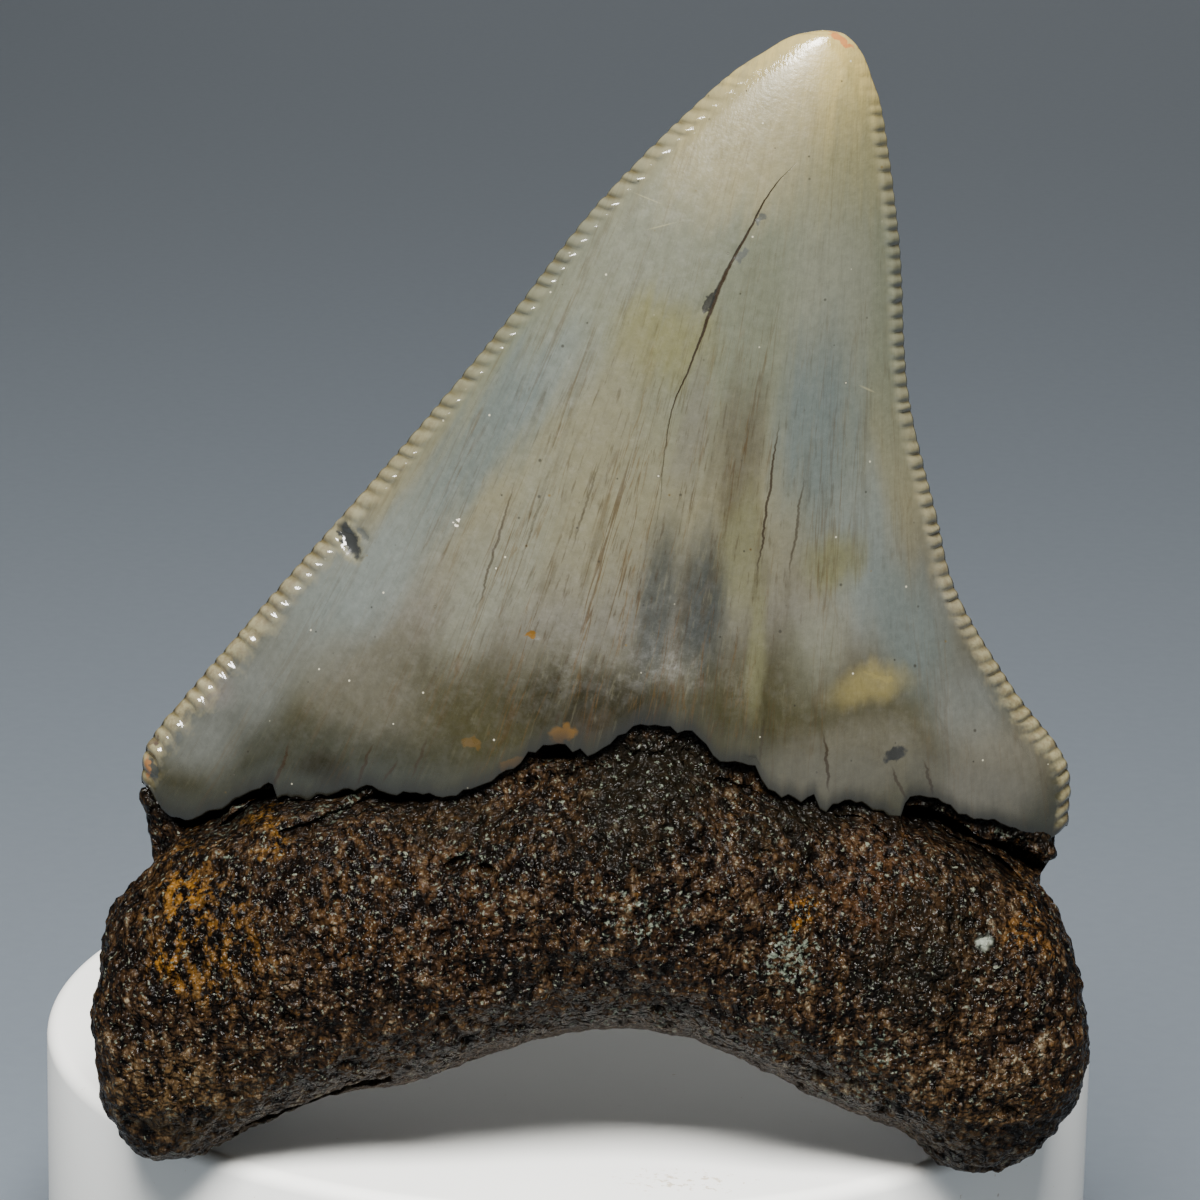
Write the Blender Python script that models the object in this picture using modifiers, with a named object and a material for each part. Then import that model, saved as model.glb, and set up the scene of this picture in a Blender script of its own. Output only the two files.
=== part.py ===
"""A fossil megalodon tooth standing on the lobes of its root, at the front of a low round plinth.

The tooth grew as one piece, so it is one solid: a serrated blade of enamel that ends in a lip over a
thick, lumpy, arched root. The plinth is a plain turned drum. +Z is up, -Y is the front and the
origin is the middle of the plinth's base.
"""

import math

import bmesh
import bpy
import numpy as np
from mathutils import Vector, noise

MM = 0.001

# Plinth, in millimetres
PLINTH_RADIUS = 30.0
PLINTH_HEIGHT = 20.0
PLINTH_TOP_ROUND = 0.8
PLINTH_FOOT_ROUND = 0.5
PLINTH_SIDES = 72

# The tooth's outlines are (x, z) points in millimetres, with z measured from the plinth's top
REST_GAP = 0.3
BLADE_Y = -18.0
LEFT_EDGE = [(12.2, 60.4), (9.8, 59.6), (6.7, 57.3), (0.9, 51.2), (-4.2, 44.3), (-9.4, 37.7),
             (-14.8, 31.2), (-20.2, 24.6), (-22.6, 21.4), (-23.0, 19.2)]
RIGHT_EDGE = [(12.2, 60.4), (13.7, 59.5), (15.4, 55.9), (16.5, 49.2), (17.2, 41.5), (18.9, 34.9),
              (20.2, 30.5), (23.4, 25.3), (26.3, 21.4), (26.6, 17.8)]
ENAMEL_LINE = [(-23.0, 19.2), (-21.6, 17.9), (-20.0, 17.9), (-17.4, 19.6), (-14.5, 20.0),
               (-10.5, 20.8), (-6.0, 20.9), (-1.2, 23.6), (1.4, 23.6), (4.6, 25.2), (7.9, 23.0),
               (10.9, 21.2), (14.0, 20.3), (17.2, 19.4), (18.6, 20.2), (21.5, 18.9), (25.0, 17.4),
               (26.6, 17.8)]
ROOT_TOP = [(-24.9, 6.4), (-24.7, 9.4), (-23.9, 12.2), (-22.8, 14.5), (-20.2, 16.8), (-16.0, 18.7),
            (-10.0, 19.7), (-5.0, 20.6), (0.0, 22.4), (4.6, 23.5), (8.6, 21.4), (14.0, 19.6),
            (18.5, 18.0), (22.0, 16.6), (24.7, 15.2), (26.0, 13.4), (27.1, 11.2), (27.5, 8.4)]
ROOT_BOTTOM = [(-24.9, 6.4), (-24.6, 3.4), (-23.6, 1.2), (-21.9, 0.0), (-19.8, -0.1), (-17.2, 1.1),
               (-12.7, 3.4), (-8.0, 4.6), (-2.6, 6.8), (1.8, 7.7), (5.7, 7.4), (9.8, 6.1),
               (13.6, 3.7), (17.6, 2.4), (20.4, 0.3), (22.9, -0.2), (25.0, 0.7), (26.8, 3.2),
               (27.4, 5.9), (27.5, 8.4)]

# Blade
SERRATIONS = 54
SERRATION_LENGTH = 0.9
SERRATION_DEPTH = 0.26
WORN_TIP = 0.12
FRONT_STATIONS = [0.03, 0.075, 0.14, 0.25, 0.37, 0.46, 0.56, 0.66, 0.78, 0.88, 0.95]
BACK_STATIONS = [0.12, 0.35, 0.6, 0.85]
BACK_ARCH = 2.6
LINE_START = 0.45
FRONT_BULGE = 0.30
FRONT_BULGE_POWER = 0.79
BACK_BULGE = 0.32
CROWN_OF_FACE = 0.8
LIP_SETBACK = 0.7
NECK_DEPTH = 4.5
NECK_THINNING = 0.4

# Root
ROOT_Y = -21.1
ROOT_HALF_THICKNESS = 7.4
ROOT_STATIONS = 56
ROOT_SIDES = 28
ROOT_SQUARENESS = 2.5
ROOT_END_SQUARENESS = 5.0
BACK_DROP = 2.2
LUMPS = [(5.0, 0.55), (1.9, 0.35)]

# Hollows: name, centre (x, y, z), half sizes (x, y, z), turn about Y in degrees
HOLLOWS = [
    ("chip", (-12.5, -19.2, 33.1), (0.95, 1.1, 0.75), -45.0),
    ("gap_left", (-17.0, -21.8, 19.2), (1.8, 1.3, 0.6), -12.0),
    ("gap_middle", (-0.6, -24.2, 23.0), (1.0, 1.2, 0.55), 0.0),
    ("gap_right", (20.9, -21.7, 18.4), (3.5, 1.3, 0.6), 30.0),
]

BLADE_COLOUR = (0.26, 0.29, 0.27, 1.0)
PLINTH_COLOUR = (0.86, 0.86, 0.85, 1.0)


def clear_scene():
    for old in list(bpy.data.objects):
        bpy.data.objects.remove(old, do_unlink=True)


def new_collection(name):
    group = bpy.data.collections.new(name)
    bpy.context.scene.collection.children.link(group)
    return group


def new_material(name, colour, roughness):
    material = bpy.data.materials.new(name)
    material.use_nodes = True
    shader = material.node_tree.nodes["Principled BSDF"]
    shader.inputs["Base Color"].default_value = colour
    shader.inputs["Roughness"].default_value = roughness
    shader.inputs["Metallic"].default_value = 0.0
    return material


def new_object(name, mesh, group, material=None):
    made = bpy.data.objects.new(name, mesh)
    group.objects.link(made)
    if material:
        mesh.materials.append(material)
    return made


def smooth_path(points, steps):
    """Return steps + 1 points, evenly spaced along a smooth curve through the given ones."""
    corners = np.array(points)
    before = 2 * corners[0] - corners[1]
    after = 2 * corners[-1] - corners[-2]
    knots = np.vstack([before, corners, after])
    dense = []
    for a, b, c, d in zip(knots, knots[1:], knots[2:], knots[3:]):
        for t in np.linspace(0.0, 1.0, 24, endpoint=False):
            bend = (2 * a - 5 * b + 4 * c - d) * t ** 2 + (3 * b - a - 3 * c + d) * t ** 3
            dense.append(0.5 * (2 * b + (c - a) * t + bend))
    dense.append(corners[-1])
    dense = np.array(dense)
    lengths = np.r_[0.0, np.cumsum(np.hypot(*np.diff(dense, axis=0).T))]
    even = np.linspace(0.0, lengths[-1], steps + 1)
    return np.column_stack([np.interp(even, lengths, dense[:, axis]) for axis in (0, 1)])


def ease(value):
    value = min(max(value, 0.0), 1.0)
    return value * value * (3.0 - 2.0 * value)


def skin(name, rows, group, material=None):
    """Lay a grid over rows of points that each go once round, and close its seam and its ends."""
    mesh = bpy.data.meshes.new(name)
    grid = bmesh.new()
    around = len(rows[0])
    bmesh.ops.create_grid(grid, x_segments=around, y_segments=len(rows) - 1, size=0.5)
    grid.verts.ensure_lookup_table()
    for vert in grid.verts:
        column = round((vert.co.x + 0.5) * around)
        row = round((vert.co.y + 0.5) * (len(rows) - 1))
        vert.co = Vector(rows[row][column % around]) * MM
    bmesh.ops.remove_doubles(grid, verts=grid.verts, dist=0.000001)
    bmesh.ops.holes_fill(grid, edges=grid.edges, sides=0)
    bmesh.ops.recalc_face_normals(grid, faces=grid.faces)
    grid.to_mesh(mesh)
    grid.free()
    return new_object(name, mesh, group, material)


def serrated(edge, side):
    """Push every second point of an edge out and the ones between them in, as beads and grooves."""
    along = np.gradient(edge, axis=0)
    along /= np.hypot(along[:, 0], along[:, 1])[:, None]
    outward = np.column_stack([along[:, 1], -along[:, 0]]) * side
    count = len(edge)
    moved = edge.copy()
    for index in range(1, count - 1):
        worn = ease(index / (count * WORN_TIP))
        sign = 1.0 if index % 2 else -1.0
        moved[index] += outward[index] * sign * 0.5 * SERRATION_DEPTH * worn
    return moved


def inner_shares(stations, rim):
    """Where a row's points lie across the blade, with one a serration's length from each edge."""
    return [rim] + [rim + (1.0 - 2.0 * rim) * station for station in stations] + [1.0 - rim]


def swell(share):
    """How far a face stands out from the blade's middle plane, from 0 at an edge to 1 halfway."""
    return (4.0 * share * (1.0 - share)) ** CROWN_OF_FACE


def blade_rows():
    """Rows from the tip to the lip, each going along the front face and home along the back."""
    steps = 2 * SERRATIONS
    left_plain = smooth_path(LEFT_EDGE, steps)
    right_plain = smooth_path(RIGHT_EDGE, steps)
    left = serrated(left_plain, 1.0)
    right = serrated(right_plain, -1.0)
    line = smooth_path(ENAMEL_LINE, 200)
    corner, across = left_plain[-1], right_plain[-1] - left_plain[-1]
    rows = []
    for index in range(steps + 1):
        start, end = left_plain[index], right_plain[index]
        width = max(float(np.hypot(*(end - start))), 0.001)
        rim = min(SERRATION_LENGTH / width, 0.3)
        depth = FRONT_BULGE * width ** FRONT_BULGE_POWER
        follow = max(index / steps - LINE_START, 0.0) ** 2 / (1.0 - LINE_START) ** 2
        ring = [(left[index][0], BLADE_Y, left[index][1])]
        for share in inner_shares(FRONT_STATIONS, rim):
            x, z = start + (end - start) * share
            base_x, base_z = corner + across * share
            lift = np.interp(base_x, line[:, 0], line[:, 1]) - base_z
            ring.append((x, BLADE_Y - depth * swell(share), z + follow * lift))
        ring.append((right[index][0], BLADE_Y, right[index][1]))
        for share in inner_shares(BACK_STATIONS, rim)[::-1]:
            x, z = start + (end - start) * share
            lift = BACK_ARCH * 4.0 * share * (1.0 - share)
            ring.append((x, BLADE_Y + BACK_BULGE * depth * swell(share), z + follow * lift))
        rows.append(ring)
    return rows


def neck_rows(last_row):
    """Carry the blade on below its lip as a thinner neck, down to a flat foot inside the root."""
    left, right = LEFT_EDGE[-1], RIGHT_EDGE[-1]
    middle_x = (left[0] + right[0]) / 2.0
    narrower = 1.0 - 2.0 * LIP_SETBACK / (right[0] - left[0])
    under, foot = [], []
    for x, y, z in last_row:
        setback = LIP_SETBACK if y < BLADE_Y else 0.5 * LIP_SETBACK
        thickness = abs(y - BLADE_Y)
        thin_y = y + math.copysign(min(setback, NECK_THINNING * thickness), BLADE_Y - y)
        thin_x = middle_x + (x - middle_x) * narrower
        foot_z = np.interp(x, (left[0], right[0]), (left[1], right[1])) - NECK_DEPTH
        under.append((thin_x, thin_y, z + 0.1))
        foot.append((thin_x, thin_y, foot_z))
    return [under, foot]


def lump(point):
    """Height of the root's lumps at a point, in millimetres."""
    return sum(height * noise.noise(Vector(point) / size) for size, height in LUMPS)


def root_rows():
    """Sections from the left lobe over the arch to the right lobe."""
    top = smooth_path(ROOT_TOP, ROOT_STATIONS)
    bottom = smooth_path(ROOT_BOTTOM, ROOT_STATIONS)
    rows = []
    for index in range(ROOT_STATIONS + 1):
        share = abs(2.0 * index / ROOT_STATIONS - 1.0)
        half_y = ROOT_HALF_THICKNESS * (1.0 - share ** ROOT_END_SQUARENESS) ** 0.5
        centre = (top[index] + bottom[index]) / 2.0
        reach = (top[index] - bottom[index]) / 2.0
        ring = []
        for side in range(ROOT_SIDES):
            turn = 2.0 * math.pi * side / ROOT_SIDES
            across, up = math.sin(turn), math.cos(turn)
            grow = (abs(across) ** ROOT_SQUARENESS + abs(up) ** ROOT_SQUARENESS) ** (-1.0 / ROOT_SQUARENESS)
            x, z = centre + reach * up * grow
            point = Vector((x, ROOT_Y - half_y * across * grow, z))
            away = Vector((reach[0] * up, -half_y * across, reach[1] * up))
            if away.length > 0.01:
                point += away.normalized() * lump(point)
            if across < 0.0 and up > 0.0:
                point.z += BACK_DROP * up * across
            point.z = max(point.z, REST_GAP)
            ring.append(tuple(point))
        rows.append(ring)
    middle = [sum(value) / ROOT_SIDES for value in zip(*rows[0])]
    rows[0] = [middle] * ROOT_SIDES
    middle = [sum(value) / ROOT_SIDES for value in zip(*rows[-1])]
    rows[-1] = [middle] * ROOT_SIDES
    return rows


def boolean(target, other, operation):
    modifier = target.modifiers.new(other.name, "BOOLEAN")
    modifier.operation = operation
    modifier.solver = "EXACT"
    modifier.object = other


def hide_cutter(cutter):
    cutter.hide_render = True
    cutter.display_type = "WIRE"


def make_hollow(name, centre, half_sizes, turn, cutters):
    ball = bmesh.new()
    bmesh.ops.create_icosphere(ball, subdivisions=2, radius=1.0)
    bmesh.ops.scale(ball, verts=ball.verts, vec=Vector(half_sizes) * MM)
    mesh = bpy.data.meshes.new(name)
    ball.to_mesh(mesh)
    ball.free()
    cutter = new_object(name, mesh, cutters)
    cutter.location = Vector(centre) * MM + Vector((0.0, 0.0, PLINTH_HEIGHT * MM))
    cutter.rotation_euler = (0.0, math.radians(turn), 0.0)
    hide_cutter(cutter)
    return cutter


def make_tooth(group, cutters):
    material = new_material("fossil_enamel", BLADE_COLOUR, 0.3)
    blade = blade_rows()
    tooth = skin("tooth", blade + neck_rows(blade[-1]), group, material)
    root = skin("root_body", root_rows(), cutters)
    root.data.shade_smooth()
    for piece in (tooth, root):
        piece.location = (0.0, 0.0, PLINTH_HEIGHT * MM)
    hide_cutter(root)
    boolean(tooth, root, "UNION")
    for hollow in HOLLOWS:
        boolean(tooth, make_hollow(*hollow, cutters), "DIFFERENCE")
    tooth.data.shade_smooth()
    return tooth


def rounded_corner(corner, radius, start_angle, steps=4):
    """Points of a quarter circle whose centre is at the given (r, z)."""
    for step in range(steps + 1):
        angle = math.radians(start_angle - 90.0 * step / steps)
        yield corner[0] + radius * math.cos(angle), corner[1] + radius * math.sin(angle)


def make_plinth(group):
    """Turn the drum's profile, from the middle of its top down its side to the middle of its base."""
    profile = [(0.0, PLINTH_HEIGHT)]
    top_round = (PLINTH_RADIUS - PLINTH_TOP_ROUND, PLINTH_HEIGHT - PLINTH_TOP_ROUND)
    foot_round = (PLINTH_RADIUS - PLINTH_FOOT_ROUND, PLINTH_FOOT_ROUND)
    profile += rounded_corner(top_round, PLINTH_TOP_ROUND, 90.0)
    profile += rounded_corner(foot_round, PLINTH_FOOT_ROUND, 0.0, 2)
    profile.append((0.0, 0.0))
    mesh = bpy.data.meshes.new("plinth")
    outline = bmesh.new()
    verts = [outline.verts.new((radius * MM, 0.0, height * MM)) for radius, height in profile]
    for first, second in zip(verts, verts[1:]):
        outline.edges.new((first, second))
    outline.to_mesh(mesh)
    outline.free()
    plinth = new_object("plinth", mesh, group, new_material("white_plastic", PLINTH_COLOUR, 0.45))
    turn = plinth.modifiers.new("turn", "SCREW")
    turn.axis = "Z"
    turn.angle = 2.0 * math.pi
    turn.steps = PLINTH_SIDES
    turn.render_steps = PLINTH_SIDES
    turn.use_merge_vertices = True
    turn.merge_threshold = 0.00001
    turn.use_smooth_shade = True
    return plinth


clear_scene()
parts_group = new_collection("megalodon_tooth")
cutters_group = new_collection("cutters")
make_plinth(parts_group)
make_tooth(parts_group, cutters_group)
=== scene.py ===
import math
from functools import partial

import bmesh
import bpy
import numpy as np
from mathutils import Matrix, Vector, noise


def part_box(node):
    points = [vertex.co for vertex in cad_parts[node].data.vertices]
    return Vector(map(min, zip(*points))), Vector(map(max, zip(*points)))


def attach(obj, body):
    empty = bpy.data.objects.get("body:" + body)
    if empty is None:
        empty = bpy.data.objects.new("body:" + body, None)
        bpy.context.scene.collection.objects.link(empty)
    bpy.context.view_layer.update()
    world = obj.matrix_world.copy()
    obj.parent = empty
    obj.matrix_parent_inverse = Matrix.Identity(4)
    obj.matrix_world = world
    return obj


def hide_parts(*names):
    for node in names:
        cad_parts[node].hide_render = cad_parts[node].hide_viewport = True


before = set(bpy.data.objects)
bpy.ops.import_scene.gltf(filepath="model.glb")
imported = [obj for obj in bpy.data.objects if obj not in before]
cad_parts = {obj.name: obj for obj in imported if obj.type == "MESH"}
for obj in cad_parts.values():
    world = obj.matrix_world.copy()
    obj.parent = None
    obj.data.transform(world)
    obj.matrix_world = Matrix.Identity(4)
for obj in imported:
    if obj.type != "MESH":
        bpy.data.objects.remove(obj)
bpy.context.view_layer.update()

mm = 0.001
weldGap = 0.002 * mm
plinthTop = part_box("plinth")[1].z / mm     # the tooth is measured up from here, in millimetres
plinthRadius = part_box("plinth")[1].x / mm


def linearColour(code):
    # sRGB hex to the linear colour that shaders use
    parts = [int(code[i:i + 2], 16) / 255 for i in (0, 2, 4)]
    return tuple(c / 12.92 if c <= 0.04045 else ((c + 0.055) / 1.055) ** 2.4 for c in parts) + (1.0,)


def smoothPath(points, steps):
    # evenly spaced points on a smooth curve through the given ones
    knots = np.array(points, float)
    knots = np.vstack([2 * knots[0] - knots[1], knots, 2 * knots[-1] - knots[-2]])
    dense = []
    for a, b, c, d in zip(knots, knots[1:], knots[2:], knots[3:]):
        for t in np.linspace(0, 1, 24, endpoint=False):
            bend = (2 * a - 5 * b + 4 * c - d) * t ** 2 + (3 * b - a - 3 * c + d) * t ** 3
            dense.append(0.5 * (2 * b + (c - a) * t + bend))
    dense.append(knots[-2])
    dense = np.array(dense)
    lengths = np.r_[0, np.cumsum(np.hypot(*np.diff(dense, axis=0).T))]
    even = np.linspace(0, lengths[-1], steps + 1)
    return np.column_stack([np.interp(even, lengths, dense[:, k]) for k in (0, 1)])


def ease(value):
    value = np.clip(value, 0, 1)
    return value * value * (3 - 2 * value)


def noiseField(points, size, seed=0.0):
    # smooth noise from -1 to 1 at each point, with bumps about this many millimetres across
    flat = (points.reshape(-1, 3) / size + seed).tolist()
    return np.array([noise.noise(p) for p in flat]).reshape(points.shape[:-1])


def cellField(points, size, seed=0.0):
    # distance to the nearest of scattered centres, 0 at a centre and about 1 between them
    flat = (points.reshape(-1, 3) / size + seed).tolist()
    return np.array([noise.voronoi(p)[0][0] for p in flat]).reshape(points.shape[:-1])


def wrapRows(shape, rows, layers=()):
    # a closed skin over rows of points that each go once round, welded where a row shrinks to a point
    count, around = rows.shape[:2]
    verts = bmesh.ops.create_grid(shape, x_segments=around, y_segments=count - 1, size=0.5)["verts"]
    places = ((rows + (0, 0, plinthTop)) * mm).tolist()
    for vert in verts:
        column = round((vert.co.x + 0.5) * around) % around
        row = round((vert.co.y + 0.5) * (count - 1))
        vert.co = places[row][column]
        for layer, field in layers:
            vert[layer] = field[row][column]
    bmesh.ops.remove_doubles(shape, verts=verts, dist=weldGap)


def finishShape(shape, name):
    # the bmesh becomes a smooth object in the scene, its faces pointing outwards
    bmesh.ops.recalc_face_normals(shape, faces=shape.faces)
    for face in shape.faces:
        face.smooth = True
    mesh = bpy.data.meshes.new(name)
    shape.to_mesh(mesh)
    shape.free()
    piece = bpy.data.objects.new(name, mesh)
    bpy.context.scene.collection.objects.link(piece)
    return piece


def addNode(tree, kind, inputs=(), out=0, **settings):
    node = tree.nodes.new("ShaderNode" + kind)
    for name, value in settings.items():
        setattr(node, name, value)
    for key, value in dict(inputs).items():
        if isinstance(value, bpy.types.NodeSocket):
            tree.links.new(value, node.inputs[key])
        else:
            node.inputs[key].default_value = value
    return node.outputs[out]


soft = {"interpolation_type": "SMOOTHSTEP", "clamp": False}      # for a MapRange that fades in and out
blend = {"out": 2, "data_type": "RGBA"}                          # for a Mix of two colours


def patch(add, place, spot, start, end, strength=1.0):
    # a soft-edged ellipse seen from the front: full inside end, gone past start
    x, z, halfWidth, halfHeight, lean = spot
    local = {0: place, 1: (x, 0, z), 2: (0, math.radians(lean), 0), 3: (halfWidth, 1000, halfHeight)}
    local = add("Mapping", local, vector_type="TEXTURE")
    far = add("VectorMath", {0: local}, out=1, operation="LENGTH")
    return add("MapRange", {0: far, 1: start, 2: end, 4: strength}, **soft)


def fillRamp(node, places):
    # colours along a ramp, from its first stop to its last
    stops = node.color_ramp.elements
    for number, (spot, colour) in enumerate(places):
        stop = stops[0] if number == 0 else stops[-1] if number == len(places) - 1 else stops.new(spot)
        stop.position, stop.color = spot, colour
    return node.outputs[0]


def startMaterial(name):
    # a new material, what adds and links its nodes, and its shader
    material = bpy.data.materials.new(name)
    material.use_nodes = True
    tree = material.node_tree
    return material, partial(addNode, tree), tree.links.new, tree.nodes["Principled BSDF"]


# the blade: outlines as x, z in millimetres above the plinth
blade = {
    "middleY": -18.0,
    "leftEdge": [(12.2, 60.4), (10.75, 60.1), (9.5, 59.4), (6.7, 57.3), (0.9, 51.2), (-4.2, 44.3),
                 (-9.4, 37.7), (-14.8, 31.2), (-20.2, 24.6), (-22.6, 21.4), (-23.0, 19.2)],
    "rightEdge": [(12.2, 60.4), (13.3, 60.2), (14.2, 59.3), (14.8, 57.9), (15.45, 55.8), (16.5, 49.2),
                  (17.2, 41.5), (18.9, 34.9), (20.2, 30.5), (23.4, 25.3), (26.3, 21.4), (26.6, 17.8)],
    "enamelLine": [(-23.0, 19.2), (-22.5, 18.9), (-22.0, 18.2), (-21.2, 17.8), (-20.0, 17.9),
                   (-19.2, 18.5), (-18.4, 18.9), (-17.6, 19.5), (-16.6, 20.1), (-15.8, 20.4),
                   (-15.5, 19.9), (-14.3, 19.9), (-13.0, 20.2), (-11.6, 20.6), (-10.4, 21.0),
                   (-9.7, 20.6), (-7.6, 20.7), (-5.6, 20.9), (-4.5, 21.5), (-3.6, 22.2),
                   (-2.7, 22.7), (-1.4, 23.8), (-0.6, 23.9), (0.3, 23.5), (1.4, 23.5), (2.3, 24.2),
                   (3.5, 25.0), (4.7, 25.1), (6.0, 24.6), (7.1, 23.8), (7.9, 23.0), (9.4, 22.7),
                   (9.9, 22.0), (10.9, 21.1), (12.5, 20.9), (13.3, 20.1), (14.0, 20.6), (15.2, 20.4),
                   (16.3, 19.8), (17.2, 19.3), (17.7, 20.4), (19.1, 20.4), (20.0, 19.9), (21.2, 19.1),
                   (22.2, 18.9), (23.1, 18.5), (24.3, 17.9), (25.5, 17.4), (26.6, 17.8)],
    "frontBulge": 0.30, "bulgePower": 0.79, "backBulge": 0.32, "faceCurve": 0.8,
    "lineStart": 0.45,             # how far down the blade its rows start to follow the enamel line
    "backArch": 2.6,
    "serrations": 62, "rowsEach": 6, "beadOut": 0.045, "beadLength": 0.75, "beadRise": 0.23,
    "beadMiddle": 0.42, "beadSpread": 0.27, "grooveIn": 0.16,
    "frontColumns": 192, "backColumns": 62, "edgeCrowding": 0.5,
    "lipRadius": 0.09, "lipRoll": 0.03, "lipRollHeight": 0.4, "lineRagged": 0.5, "raggedSize": 0.65,
    "waveSize": 6.0, "waveHeight": 0.07, "ribSize": 1.3, "ribHeight": 0.02,
    # dents: x, z, half width, half height, turn in degrees, depth
    "dents": [(-12.0, 33.2, 1.2, 0.55, -56, 0.26), (-11.2, 33.4, 0.5, 0.3, -40, 0.15),
              (-22.4, 20.6, 0.35, 0.55, 10, 0.18), (-22.2, 21.9, 0.4, 0.3, -20, 0.12),
              (9.05, 51.1, 0.3, 0.22, 30, 0.05), (7.95, 49.15, 0.5, 0.2, 65, 0.05),
              (6.4, 46.6, 0.65, 0.2, 66, 0.06),
              (-2.0, 29.3, 0.35, 0.2, -20, 0.05), (9.5, 22.9, 0.5, 0.4, 0, 0.1)],
}


def swell(share):
    # how far a face stands out from the middle plane, 0 at an edge and 1 halfway across
    return np.clip(4 * share * (1 - share), 0, 1) ** blade["faceCurve"]


def serrate(edge, side, seed):
    # beads along one cutting edge: how far each row stands out, how deep its groove is and how long
    rows = len(edge)
    along = np.gradient(edge, axis=0)
    along /= np.maximum(np.hypot(*along.T), 1e-9)[:, None]
    outward = np.column_stack([along[:, 1], -along[:, 0]]) * side
    rng = np.random.default_rng(seed)
    count = blade["serrations"]
    cuts = np.arange(count + 1) + rng.uniform(-0.16, 0.16, count + 1)
    cuts[0], cuts[-1] = 0, count
    place = np.linspace(0, count, rows)
    which = np.clip(np.searchsorted(cuts, place, side="right") - 1, 0, count - 1)
    within = (place - cuts[which]) / (cuts[which + 1] - cuts[which])
    within = np.clip(within, 0, 1) ** rng.uniform(0.75, 1.3, count)[which]
    bead = 1 - np.abs(2 * within - 1) ** 2.2
    size = rng.uniform(0.55, 1.25, count)[which]
    size[rng.uniform(size=count)[which] < 0.06] *= 0.35          # a few are worn away
    worn = 0.12 + 0.88 * ease((place / count - 0.05) / 0.14)
    reach = rng.uniform(0.75, 1.15, count)[which] * blade["beadLength"]
    return outward, bead, size * worn, reach


def bladeRows():
    steps = blade["serrations"] * blade["rowsEach"]
    left, right = smoothPath(blade["leftEdge"], steps), smoothPath(blade["rightEdge"], steps)
    line = smoothPath(blade["enamelLine"], 900)
    ragged = np.column_stack([line[:, 0], 0 * line[:, 0], line[:, 1]])
    inside = np.sin(np.linspace(0, math.pi, len(line))) ** 0.5            # the line stays put at both ends
    line[:, 1] += blade["lineRagged"] * noiseField(ragged, blade["raggedSize"], 5) * inside
    corner, across = left[-1], right[-1] - left[-1]
    sides = [(left, *serrate(left, 1, 4)), (right, *serrate(right, -1, 9))]
    width = np.maximum(np.hypot(*(right - left).T), 0.001)[:, None]
    rowWay = (right - left) / width
    down = np.linspace(0, 1, steps + 1)[:, None]
    follow = np.clip(down - blade["lineStart"], 0, 1) ** 2 / (1 - blade["lineStart"]) ** 2

    def evenShares(columns):
        t = np.linspace(0, 1, columns)
        return t - blade["edgeCrowding"] * np.sin(2 * math.pi * t) / (2 * math.pi)

    halves = []
    for front in (True, False):
        share = evenShares(blade["frontColumns"]) if front else evenShares(blade["backColumns"] + 2)[-2:0:-1]
        base = corner + across * share[:, None]
        if front:
            lineZ = np.interp(base[:, 0], line[:, 0], line[:, 1])
        else:
            lineZ = base[:, 1] + blade["backArch"] * 4 * share * (1 - share)
        lift = np.where((share > 0) & (share < 1), lineZ - base[:, 1], 0.0)
        x = left[:, :1] + (right - left)[:, :1] * share
        z = left[:, 1:] + (right - left)[:, 1:] * share + follow * lift
        depth = blade["frontBulge"] * width ** blade["bulgePower"] * swell(share)
        if not front:
            depth = depth * blade["backBulge"]
        thickness = depth.copy()
        above = z - (base[:, 1] + lift)                       # height above the enamel line
        roll = blade["lipRoll"] * np.clip(1 - above / blade["lipRollHeight"], 0, 1) ** 2
        depth -= np.minimum(roll if front else 0.6 * roll, 0.45 * thickness)
        nearest = np.full(x.shape, 99.0)
        groove = np.zeros(x.shape)
        for number, (edge, outward, bead, size, reach) in enumerate(sides):
            run = width * (share if number == 0 else 1 - share)
            inward = run * np.abs((rowWay * outward).sum(1))[:, None]
            nearest = np.minimum(nearest, inward)
            push = (bead - 0.5)[:, None] * size[:, None] * blade["beadOut"] * 2
            fade = np.exp(-(inward / 0.4) ** 2)
            x = x + outward[:, :1] * push * fade
            z = z + outward[:, 1:] * push * fade
            cut = ((1 - bead) * size)[:, None] * ease(1 - inward / reach[:, None])
            groove = np.maximum(groove, cut)
            ridge = np.exp(-((inward - blade["beadMiddle"]) / blade["beadSpread"]) ** 2)
            rise = (bead * size)[:, None] * ridge
            depth = depth + blade["beadRise"] * rise * (nearest > 0.02)
        depth = depth - np.minimum(groove * blade["grooveIn"], 0.8 * thickness + 0.02)
        y = -depth if front else depth
        halves.append((x, y + blade["middleY"], z, nearest, above, thickness, groove))
    joined = [np.concatenate(pair, axis=1) for pair in zip(*halves)]
    return joined, corner, across


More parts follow.
